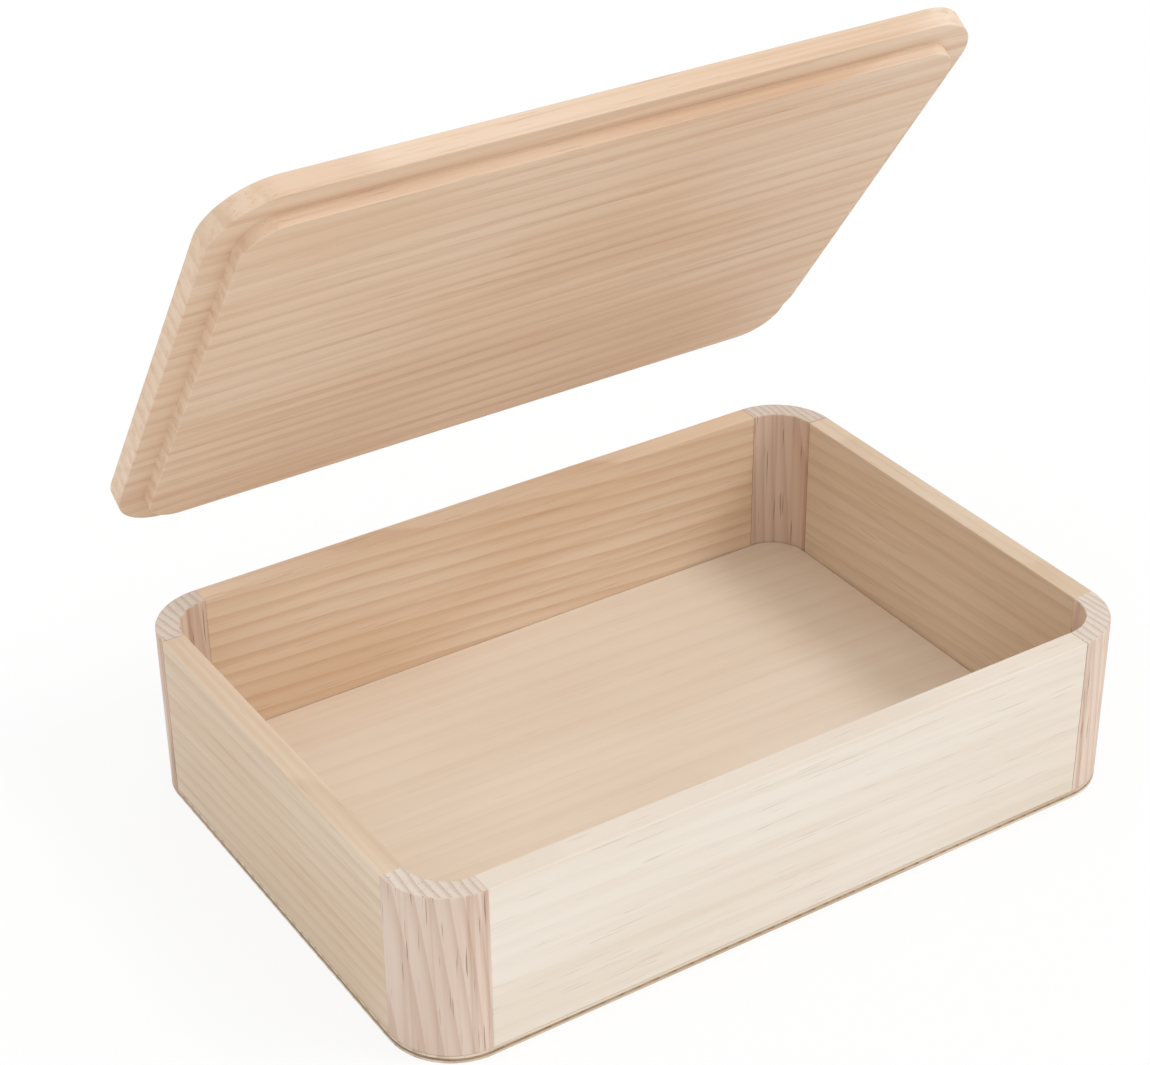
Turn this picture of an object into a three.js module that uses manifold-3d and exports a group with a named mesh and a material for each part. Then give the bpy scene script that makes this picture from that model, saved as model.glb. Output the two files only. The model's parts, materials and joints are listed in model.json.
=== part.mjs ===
// A rounded wooden box with a lift-off lid, in millimetres, +Z up.
// The origin is the centre of the box's underside. The long sides run along X.
// The walls are four boards butted to four quarter-round corner blocks. They stand on a
// three-ply base, with a thin floor board inside. The lid is one board with a stepped edge.
// The lid is shown lifted and turned about an axis behind the box; turned back, it seats.
import * as THREE from "three";
import { mergeVertices } from "three/addons/utils/BufferGeometryUtils.js";
import Module from "manifold-3d";

// Box
const LENGTH = 300; // outside, along X
const WIDTH = 210; // outside, along Y
const WALL_HEIGHT = 65.5; // boards and corner blocks
const WALL = 9; // thickness of the boards and corner blocks
const CORNER_RADIUS = 25; // outer radius of a corner block
const PLY = 1; // thickness of each layer of the base
const FLOOR = 4; // thickness of the floor board
const FLOOR_GAP = 0.3; // between the floor board and the walls
const ARC_STEPS = 16; // facets in each quarter-round

// Lid
const LID_PLATE = 8; // thickness of the part that covers the rim
const LID_STEP = 5; // how far the raised middle reaches into the box
const LID_CLEARANCE = 0.8; // between the raised middle and the walls
const LID_SEAT_GAP = 0.3; // between the lid and the rim when it is shut

// Place of the lifted lid
const LID_OPEN = THREE.MathUtils.degToRad(55);
const AXIS_BEHIND = 32; // from the back of the box to the axis that the lid turns about

const PLY_NAMES = ["base_lower_ply", "base_core_ply", "base_upper_ply"];
const BASE = PLY * PLY_NAMES.length;
const RIM = BASE + WALL_HEIGHT;

const wasm = await Module();
wasm.setup();

// A wood finish for one piece.
function wood(color, roughness) {
  return new THREE.MeshStandardMaterial({ color, roughness, metalness: 0 });
}

// A rectangle with quarter-round corners, centred on the origin.
function roundedOutline(length, width, radius) {
  const [x, y] = [length / 2 - radius, width / 2 - radius];
  const outline = new THREE.Shape();
  outline.absarc(x, y, radius, 0, Math.PI / 2);
  outline.absarc(-x, y, radius, Math.PI / 2, Math.PI);
  outline.absarc(-x, -y, radius, Math.PI, 1.5 * Math.PI);
  outline.absarc(x, -y, radius, 1.5 * Math.PI, 2 * Math.PI);
  return outline;
}

// An outline carried straight up from z = bottom.
function slab(outline, bottom, height) {
  const options = { depth: height, bevelEnabled: false, curveSegments: ARC_STEPS };
  return new THREE.ExtrudeGeometry(outline, options).translate(0, 0, bottom);
}

// A named mesh in one finish.
function piece(name, geometry, material) {
  const mesh = new THREE.Mesh(geometry, material);
  mesh.name = name;
  return mesh;
}

// A geometry as a solid that can be joined.
function solidOf(geometry) {
  const bare = geometry.clone();
  bare.deleteAttribute("normal");
  bare.deleteAttribute("uv");
  const merged = mergeVertices(bare);
  const vertProperties = merged.attributes.position.array;
  const triVerts = new Uint32Array(merged.index.array);
  return new wasm.Manifold(new wasm.Mesh({ numProp: 3, vertProperties, triVerts }));
}

// A joined solid as a geometry again.
function geometryOf(solid) {
  const { vertProperties, triVerts } = solid.getMesh();
  const geometry = new THREE.BufferGeometry();
  geometry.setAttribute("position", new THREE.BufferAttribute(vertProperties, 3));
  geometry.setIndex(new THREE.BufferAttribute(triVerts, 1));
  geometry.computeVertexNormals();
  return geometry;
}

// The base: three thin layers with the box's own outline, glued under the walls.
function basePlies() {
  const outline = roundedOutline(LENGTH, WIDTH, CORNER_RADIUS);
  return PLY_NAMES.map((name, layer) =>
    piece(name, slab(outline, layer * PLY, PLY), wood(layer === 1 ? 0xb99a76 : 0xd9c3a5, 0.75)),
  );
}

// The floor board, laid on the base inside the walls.
function floorBoard() {
  const inset = 2 * (WALL + FLOOR_GAP);
  const radius = CORNER_RADIUS - WALL - FLOOR_GAP;
  const outline = roundedOutline(LENGTH - inset, WIDTH - inset, radius);
  return piece("floor_board", slab(outline, BASE, FLOOR), wood(0xe6d6be, 0.7));
}

// A straight wall board, centred on its own thickness at (x, y).
function wallBoard(name, sizeX, sizeY, x, y, color) {
  const board = new THREE.BoxGeometry(sizeX, sizeY, WALL_HEIGHT);
  board.translate(x, y, BASE + WALL_HEIGHT / 2);
  return piece(name, board, wood(color, 0.7));
}

// The four straight boards, which end where the corner blocks begin.
function wallBoards() {
  const long = LENGTH - 2 * CORNER_RADIUS;
  const short = WIDTH - 2 * CORNER_RADIUS;
  const [x, y] = [(LENGTH - WALL) / 2, (WIDTH - WALL) / 2];
  return [
    wallBoard("front_board", long, WALL, 0, -y, 0xe3d5c4),
    wallBoard("back_board", long, WALL, 0, y, 0xdcc6a6),
    wallBoard("left_board", WALL, short, -x, 0, 0xd4bf9f),
    wallBoard("right_board", WALL, short, x, 0, 0xd0b48c),
  ];
}

// One corner block: a quarter of a ring, as thick as the walls, with upright grain.
function cornerBlock(name, signX, signY) {
  const start = Math.atan2(signY, signX) - Math.PI / 4;
  const end = start + Math.PI / 2;
  const [x, y] = [signX * (LENGTH / 2 - CORNER_RADIUS), signY * (WIDTH / 2 - CORNER_RADIUS)];
  const quarter = new THREE.Shape();
  quarter.absarc(x, y, CORNER_RADIUS, start, end, false);
  quarter.absarc(x, y, CORNER_RADIUS - WALL, end, start, true);
  return piece(name, slab(quarter, BASE, WALL_HEIGHT), wood(0xcbb096, 0.75));
}

function cornerBlocks() {
  return [
    cornerBlock("front_left_corner_block", -1, -1),
    cornerBlock("front_right_corner_block", 1, -1),
    cornerBlock("back_right_corner_block", 1, 1),
    cornerBlock("back_left_corner_block", -1, 1),
  ];
}

// The lid, shut: a plate with the box's outline over a raised middle that fits inside the rim.
function lid() {
  const inset = 2 * (WALL + LID_CLEARANCE);
  const seat = RIM + LID_SEAT_GAP;
  const plate = slab(roundedOutline(LENGTH, WIDTH, CORNER_RADIUS), seat, LID_PLATE);
  const middleRadius = CORNER_RADIUS - WALL - LID_CLEARANCE;
  const middleOutline = roundedOutline(LENGTH - inset, WIDTH - inset, middleRadius);
  const middle = slab(middleOutline, seat - LID_STEP, LID_STEP + LID_PLATE / 2);
  const board = solidOf(plate).add(solidOf(middle));
  return piece("lid", geometryOf(board), wood(0xd9c19c, 0.7));
}

// The lid turned up about the axis that lies behind the box at the height of the rim.
function liftedLid() {
  const turn = new THREE.Group();
  const shut = lid();
  turn.position.set(0, WIDTH / 2 + AXIS_BEHIND, RIM);
  turn.rotation.x = -LID_OPEN;
  shut.position.copy(turn.position).negate();
  turn.add(shut);
  return turn;
}

const group = new THREE.Group();
group.add(...basePlies(), floorBoard(), ...wallBoards(), ...cornerBlocks(), liftedLid());

export default group;
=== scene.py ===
import json
from math import pi, radians
import bpy
import numpy as np
from mathutils import Matrix, Quaternion, Vector


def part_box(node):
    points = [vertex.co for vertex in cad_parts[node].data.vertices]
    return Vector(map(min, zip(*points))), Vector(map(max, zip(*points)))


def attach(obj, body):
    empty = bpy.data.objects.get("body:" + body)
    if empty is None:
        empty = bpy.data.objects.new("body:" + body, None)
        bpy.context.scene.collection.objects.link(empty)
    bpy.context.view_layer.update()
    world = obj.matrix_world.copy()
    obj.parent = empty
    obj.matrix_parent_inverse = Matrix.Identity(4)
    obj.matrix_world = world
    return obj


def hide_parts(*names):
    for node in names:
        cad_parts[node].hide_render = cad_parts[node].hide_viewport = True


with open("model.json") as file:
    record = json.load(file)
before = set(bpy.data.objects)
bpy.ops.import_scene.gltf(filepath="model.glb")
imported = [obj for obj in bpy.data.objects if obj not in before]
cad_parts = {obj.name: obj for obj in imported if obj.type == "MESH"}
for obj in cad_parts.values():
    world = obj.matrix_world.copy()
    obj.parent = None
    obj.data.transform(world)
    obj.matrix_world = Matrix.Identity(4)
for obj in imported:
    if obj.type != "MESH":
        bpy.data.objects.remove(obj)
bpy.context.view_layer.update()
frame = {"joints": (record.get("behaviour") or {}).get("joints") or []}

# The view: from the front left and above, with a long lens, so that the long front wall,
# the short left wall, the inside and the underside of the lifted lid all show.
EYE = Vector((-0.447, -0.664, 0.591))
LOOK = Vector((0.4588, 0.7208, -0.5196))
LEAN = radians(-0.7)
SENSOR_WIDTH = 36.0
FOCAL_PIXELS = 2629.0
IMAGE_WIDTH = 1150.0

camera_data = bpy.data.cameras.new("camera")
camera_data.sensor_fit = "HORIZONTAL"
camera_data.sensor_width = SENSOR_WIDTH
camera_data.lens = FOCAL_PIXELS / IMAGE_WIDTH * SENSOR_WIDTH
camera = bpy.data.objects.new("camera", camera_data)
camera.rotation_mode = "QUATERNION"
camera.rotation_quaternion = LOOK.to_track_quat("-Z", "Y") @ Quaternion((0, 0, 1), LEAN)
camera.location = EYE
bpy.context.scene.collection.objects.link(camera)
bpy.context.scene.camera = camera
bpy.context.scene.view_settings.view_transform = "Standard"

# The base: three thin layers of plywood with the outline of the whole box. They are glued
# together and then under the walls, and the edge shows as pale, brown and pale lines.
OUTER_RADIUS = 0.025
HAIR = 0.0001
ALONG_X = [0, 1, 2]
ALONG_Y = [1, 0, 2]

# The wood's figure, in metres and in repeats to the metre, along, across and into the grain.
WAVER_STRETCH = (1.8, 9.0, 9.0)
LINE_STRETCH = (3.0, 260.0, 260.0)
CLOUD_STRETCH = (6.0, 18.0, 18.0)
PORE_STRETCH = (45.0, 1500.0, 1500.0)
PITH_DEPTH = 0.035
PITH_SLOPE = 0.05
SIDE_WAVER = 0.03
DEPTH_WAVER = 0.008
LATE_WOOD = (0.35, 0.93)
LINE_TINT = 0.6
PORE_TINT = 0.7
PORE_SHADE = 0.45
ROUGHNESS = 0.62
BUMP_HEIGHT = 0.0002
BUMP_STRENGTH = 0.25


class Socket:
    """A node's output that takes part in sums, as a number does."""

    def __init__(self, tree, link=None):
        self.tree, self.link = tree, link

    def node(self, kind, settings=(), values=(), out=0):
        """Any node: its settings first, then the values or links of its inputs by name or place."""
        made = self.tree.nodes.new(kind)
        for name, value in dict(settings).items():
            setattr(made, name, value)
        for name, value in dict(values).items():
            if isinstance(value, Socket):
                self.tree.links.new(value.link, made.inputs[name])
            else:
                made.inputs[name].default_value = value
        return Socket(self.tree, made.outputs[out])

    def math(self, operation, *others):
        values = dict(enumerate((self,) + others))
        return self.node("ShaderNodeMath", {"operation": operation}, values)

    def __add__(self, other):
        return self.math("ADD", other)

    def __mul__(self, other):
        return self.math("MULTIPLY", other)

    def __sub__(self, other):
        return self.math("SUBTRACT", other)

    def __rsub__(self, other):
        return (self * -1.0).math("ADD", other)

    __radd__ = __add__
    __rmul__ = __mul__

    def noise(self, stretch, detail=2.0, roughness=0.5):
        """Noise on this vector, squeezed along each axis by stretch."""
        squeezed = self.node("ShaderNodeVectorMath", {"operation": "MULTIPLY"}, {0: self, 1: stretch})
        values = {"Vector": squeezed, "Scale": 1.0, "Detail": detail, "Roughness": roughness}
        return self.node("ShaderNodeTexNoise", {"noise_dimensions": "3D"}, values)

    def span(self, low, high):
        """0 below low, 1 above high, and a smooth rise between."""
        settings = {"interpolation_type": "SMOOTHSTEP"}
        values = {"Value": self, "From Min": low, "From Max": high}
        return self.node("ShaderNodeMapRange", settings, values)

    def tint(self, first, second):
        """The first colour where this is 0 and the second where it is 1."""
        factor, first_colour, second_colour = 0, 6, 7
        values = {factor: self, first_colour: first, second_colour: second}
        return self.node("ShaderNodeMix", {"data_type": "RGBA"}, values, out=2)


def colour(red, green, blue):
    """A screen colour of 0 to 255 as the linear colour that a shader takes."""
    screen = np.array([red, green, blue]) / 255.0
    linear = np.where(screen <= 0.04045, screen / 12.92, ((screen + 0.055) / 1.055) ** 2.4)
    return (*linear.tolist(), 1.0)


def wood(name, pale, dark, streak, ring_gap=0.006, ring_strength=0.5, streaks=0.5, pores=0.5):
    """Raw planed wood, as a solid pattern on the piece's own grain coordinates.

    A ring is the fraction of the distance from a wavering pith under the board, counted in
    ring gaps. Streaks, clouds and pores are noise drawn out along the grain.
    """
    material = bpy.data.materials.new(name)
    material.use_nodes = True
    tree = material.node_tree
    shader = tree.nodes["Principled BSDF"]
    grain = Socket(tree).node("ShaderNodeAttribute", {"attribute_name": "grain"}, out=1)
    along, across, depth = (
        grain.node("ShaderNodeSeparateXYZ", {}, {0: grain}, out=axis) for axis in range(3)
    )
    waver = grain.noise(WAVER_STRETCH, detail=3.0) - 0.5
    side = across + along * PITH_SLOPE + waver * SIDE_WAVER
    below = depth + PITH_DEPTH + waver * DEPTH_WAVER
    turn = ((side * side + below * below).math("SQRT") * (1.0 / ring_gap)).math("FRACT")
    ring = turn.span(*LATE_WOOD) * (1.0 - turn.span(LATE_WOOD[1], 1.0)) * ring_strength
    line = grain.noise(LINE_STRETCH, detail=4.0, roughness=0.6).span(0.45, 0.72) * streaks
    cloud = grain.noise(CLOUD_STRETCH).span(0.3, 0.75)
    pore = grain.noise(PORE_STRETCH, detail=1.0).span(0.66, 0.74) * pores
    pore_colour = tuple(channel * PORE_SHADE for channel in streak[:3]) + (1.0,)
    ringed = ring.tint(cloud.tint(pale, dark), streak)
    finish = (pore * PORE_TINT).tint((line * LINE_TINT).tint(ringed, streak), pore_colour)
    tree.links.new(finish.link, shader.inputs["Base Color"])
    rough = ROUGHNESS + line * 0.1 + pore * 0.15
    tree.links.new(rough.link, shader.inputs["Roughness"])
    height = ring * 0.25 - pore - line * 0.3
    relief = {"Strength": BUMP_STRENGTH, "Distance": BUMP_HEIGHT, "Height": height}
    tree.links.new(grain.node("ShaderNodeBump", {}, relief).link, shader.inputs["Normal"])
    return material


def arcs_of(x_low, x_high, y_low, y_high, radius):
    """A rectangle with round corners, as arcs: centre, radius, start and end angle, side."""
    corners = [(x_high, y_high), (x_low, y_high), (x_low, y_low), (x_high, y_low)]
    inward = [(-1, -1), (1, -1), (1, 1), (-1, 1)]
    return [(x + i * radius, y + j * radius, radius, turn * pi / 2, (turn + 1) * pi / 2, 1)
            for turn, ((x, y), (i, j)) in enumerate(zip(corners, inward))]


def outline_of(arcs, steps):
    """Points on the arcs in turn, and the way out at each: centre plus radius along the angle."""
    points, outward = [], []
    for x, y, radius, start, end, side in arcs:
        angle = np.linspace(start, end, steps)
        ray = np.stack([np.cos(angle), np.sin(angle)], axis=1)
        points.append(np.array([x, y]) + radius * ray)
        outward.append(side * ray)
    return np.concatenate(points), np.concatenate(outward)


def eased_profile(low, high, ease, steps=3):
    """From the lower face to the upper one: inset and height, with a quarter-round at each edge."""
    angle = np.linspace(0, pi / 2, steps)
    inset = ease * (1 - np.sin(angle))
    rise = ease * (1 - np.cos(angle))
    foot = list(zip(inset, low + rise))
    return foot + [(i, high - r) for i, r in reversed(list(zip(inset, rise)))]


def closed_board(name, arcs, profile, steps):
    """A closed mesh: the outline, drawn in by each inset of the profile, at each height."""
    points, outward = outline_of(arcs, steps)
    rings = [np.column_stack([points - inset * outward, np.full(len(points), height)])
             for inset, height in profile]
    vertices = np.concatenate(rings)
    count, last = len(points), len(profile) - 1
    here = np.arange(count)
    ahead = (here + 1) % count
    faces = [tuple(here[::-1].tolist())]
    for row in range(last):
        lower, upper = row * count, (row + 1) * count
        quads = np.column_stack([lower + here, lower + ahead, upper + ahead, upper + here])
        faces += [tuple(quad) for quad in quads.tolist()]
    faces.append(tuple((last * count + here).tolist()))
    mesh = bpy.data.meshes.new(name)
    mesh.from_pydata(vertices.tolist(), [], faces)
    return mesh, vertices


SHARP_ANGLE = radians(20)
GRAIN_SHIFT = 0.03
SEED_STRIDE = 1.7


def board(name, node, body, arcs, profile, materials, grain_axes, seed, steps, place=None):
    """A wooden piece that stands for a node, with its grain coordinates and its finishes.

    Grain is the place from the piece's middle, axes put in order along, across and into the
    board, plus a shift of its own. The last finish is on the two end faces of the outline.
    """
    mesh, vertices = closed_board(name, arcs, profile, steps)
    middle = (vertices.min(axis=0) + vertices.max(axis=0)) / 2
    shift = np.random.default_rng(seed).uniform(-GRAIN_SHIFT, GRAIN_SHIFT, 3)
    grain = (vertices - middle)[:, grain_axes] + shift + np.array([seed * SEED_STRIDE, 0.0, 0.0])
    mesh.attributes.new("grain", "FLOAT_VECTOR", "POINT").data.foreach_set("vector", grain.ravel())
    for material in materials:
        mesh.materials.append(material)
    for cap in (0, len(mesh.polygons) - 1):
        mesh.polygons[cap].material_index = len(materials) - 1
    mesh.polygons.foreach_set("use_smooth", np.ones(len(mesh.polygons), bool))
    if place is not None:
        mesh.transform(place)
    mesh.update()
    mesh.set_sharp_from_angle(angle=SHARP_ANGLE)
    made = bpy.data.objects.new(name, mesh)
    bpy.context.scene.collection.objects.link(made)
    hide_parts(node)
    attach(made, body)


base_low, base_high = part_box("base_lower_ply")
base_arcs = arcs_of(base_low.x, base_high.x, base_low.y, base_high.y, OUTER_RADIUS)
face_ply = wood("base_face_ply", colour(226, 212, 192), colour(214, 196, 172), colour(176, 146, 112))
core_ply = wood("base_core_ply", colour(176, 152, 128), colour(158, 132, 108), colour(120, 92, 68))
layers = [("base_lower_ply", face_ply, "base_face_ply", ALONG_X),
          ("base_core_ply", core_ply, "base_core_ply", ALONG_Y),
          ("base_upper_ply", face_ply, "base_face_ply", ALONG_X)]
for seed, (node, finish, slot, axes) in enumerate(layers, start=1):
    low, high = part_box(node)
    board(node + "_layer", node, "box", base_arcs, eased_profile(low.z, high.z, HAIR),
          [finish], axes, seed, steps=24)

# The floor board: a thin planed board laid on the base inside the walls. It is the palest
# piece inside, and has only faint streaks.
INNER_RADIUS = 0.0157
low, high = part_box("floor_board")
floor_arcs = arcs_of(low.x, high.x, low.y, high.y, INNER_RADIUS)
floor_wood = wood("floor_wood", colour(234, 222, 206), colour(229, 212, 192), colour(208, 180, 150),
                  ring_gap=0.011, ring_strength=0.1, streaks=0.22, pores=0.12)
board("floor_panel", "floor_board", "box", floor_arcs,
      eased_profile(low.z, high.z, HAIR), [floor_wood], ALONG_X, seed=5, steps=20)

# The straight walls: four planed boards, butted to the corner blocks, with the arris of
# each edge just taken off. The front one is the palest and the back one the warmest.
EASE = 0.0004
END_RADIUS = 0.00045
LONG_WALL = [0, 2, 1]
SHORT_WALL = [1, 2, 0]
long_wood = wood("long_board_wood", colour(230, 221, 209), colour(224, 212, 196), colour(202, 176, 148),
                 ring_gap=0.008, ring_strength=0.1, streaks=0.25, pores=0.3)
back_wood = wood("back_board_wood", colour(230, 208, 184), colour(222, 194, 164), colour(196, 148, 104),
                 ring_gap=0.007, ring_strength=0.32, streaks=0.45, pores=0.3)
short_wood = wood("short_board_wood", colour(222, 204, 182), colour(214, 192, 166), colour(184, 148, 112),
                  ring_gap=0.007, ring_strength=0.2, streaks=0.4, pores=0.3)
walls = [("front_board", long_wood, "long_board_wood", LONG_WALL),
         ("back_board", back_wood, "long_board_wood", LONG_WALL),
         ("left_board", short_wood, "short_board_wood", SHORT_WALL),
         ("right_board", short_wood, "short_board_wood", SHORT_WALL)]
for seed, (node, finish, slot, axes) in enumerate(walls, start=11):
    low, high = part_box(node)
    arcs = arcs_of(low.x, high.x, low.y, high.y, END_RADIUS)
    board(node + "_planed", node, "box", arcs, eased_profile(low.z, high.z, EASE),
          [finish], axes, seed, steps=3)

# The corner blocks: quarter rings of wood with upright grain, so that their end grain shows
# greyer on the rim. They are sanded round outside and inside.
UPRIGHT = [2, 0, 1]
corner_wood = wood("corner_wood", colour(222, 202, 186), colour(210, 184, 164), colour(164, 116, 86),
                   ring_gap=0.004, ring_strength=0.25, streaks=0.8, pores=0.9)
corner_end = wood("corner_end_grain", colour(222, 210, 198), colour(210, 196, 182), colour(178, 156, 138),
                  ring_gap=0.003, ring_strength=0.5, streaks=0.2, pores=0.7)
left_low, left_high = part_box("left_board")
wall = left_high.x - left_low.x
blocks = [("front_left_corner_block", -1, -1), ("front_right_corner_block", 1, -1),
          ("back_right_corner_block", 1, 1), ("back_left_corner_block", -1, 1)]
for seed, (node, right, back) in enumerate(blocks, start=21):
    low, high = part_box(node)
    x = low.x if right > 0 else high.x
    y = low.y if back > 0 else high.y
    start = np.arctan2(back, right) - pi / 4
    arcs = [(x, y, OUTER_RADIUS, start, start + pi / 2, 1),
            (x, y, OUTER_RADIUS - wall, start + pi / 2, start, -1)]
    board(node + "_sanded", node, "box", arcs, eased_profile(low.z, high.z, EASE),
          [corner_wood, corner_end], UPRIGHT, seed, steps=24)

# The lid: one planed board with a step cut all round, so that its middle drops inside the
# rim. It is worked out as it lies when shut, and then turned up to its lifted place.
PLATE = 0.008
STEP = 0.005
SEAT_GAP = 0.0003
CLEARANCE = 0.0008
joint = frame["joints"][0]
pivot = Vector(joint["pos_m"])
lift = radians(joint["range_deg"][1])
turned_up = (Matrix.Translation(pivot) @ Matrix.Rotation(-lift, 4, Vector(joint["axis"]))
             @ Matrix.Translation(-pivot))
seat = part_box("front_board")[1].z + SEAT_GAP
ledge = wall + CLEARANCE
middle_foot = eased_profile(seat - STEP, seat + STEP, EASE)[:3]
middle_part = [(ledge + inset, height) for inset, height in middle_foot]
lid_profile = middle_part + [(ledge, seat)] + eased_profile(seat, seat + PLATE, EASE)
lid_wood = wood("lid_wood", colour(229, 206, 182), colour(221, 192, 164), colour(190, 142, 100),
                ring_gap=0.009, ring_strength=0.22, streaks=0.55, pores=0.3)
board("lid_planed", "lid", "lid", base_arcs, lid_profile, [lid_wood], ALONG_X,
      seed=31, steps=24, place=turned_up)

# The studio: a pale floor that takes a soft shadow and is seen nearly white, an even white
# light all round, and a soft key light from the front right and above.
FLOOR_HALF = 4.0
FLOOR_WHITE = 0.85
FILL = 0.93
KEY_FROM = Vector((0.75, -0.62, 1.05))
KEY_STRENGTH = 0.85
KEY_ANGLE = radians(18)
WHITE = (1.0, 1.0, 1.0, 1.0)

bpy.ops.mesh.primitive_plane_add(size=2 * FLOOR_HALF, location=(0, 0, 0))
ground = bpy.context.object
ground.name = "studio_floor"
ground_material = bpy.data.materials.new("studio_floor")
ground_material.use_nodes = True
tree = ground_material.node_tree
shader = tree.nodes["Principled BSDF"]
shader.inputs["Base Color"].default_value = (0.9, 0.9, 0.9, 1.0)
shader.inputs["Roughness"].default_value = 0.9
seen = Socket(tree).node("ShaderNodeLightPath")
white = seen.node("ShaderNodeEmission", {}, {"Color": WHITE, "Strength": 1.0})
lit = Socket(tree, shader.outputs[0])
mixed = seen.node("ShaderNodeMixShader", {}, {0: seen * FLOOR_WHITE, 1: lit, 2: white})
tree.links.new(mixed.link, tree.nodes["Material Output"].inputs[0])
ground.data.materials.append(ground_material)

world = bpy.data.worlds.new("studio")
world.use_nodes = True
bpy.context.scene.world = world
tree = world.node_tree
sky = tree.nodes["Background"]
sky.inputs["Color"].default_value = WHITE
strength = Socket(tree).node("ShaderNodeLightPath") * (1.0 - FILL) + FILL
tree.links.new(strength.link, sky.inputs["Strength"])

key_data = bpy.data.lights.new("key", "SUN")
key_data.energy = KEY_STRENGTH
key_data.angle = KEY_ANGLE
key = bpy.data.objects.new("key", key_data)
key.rotation_euler = KEY_FROM.to_track_quat("Z", "Y").to_euler()
bpy.context.scene.collection.objects.link(key)
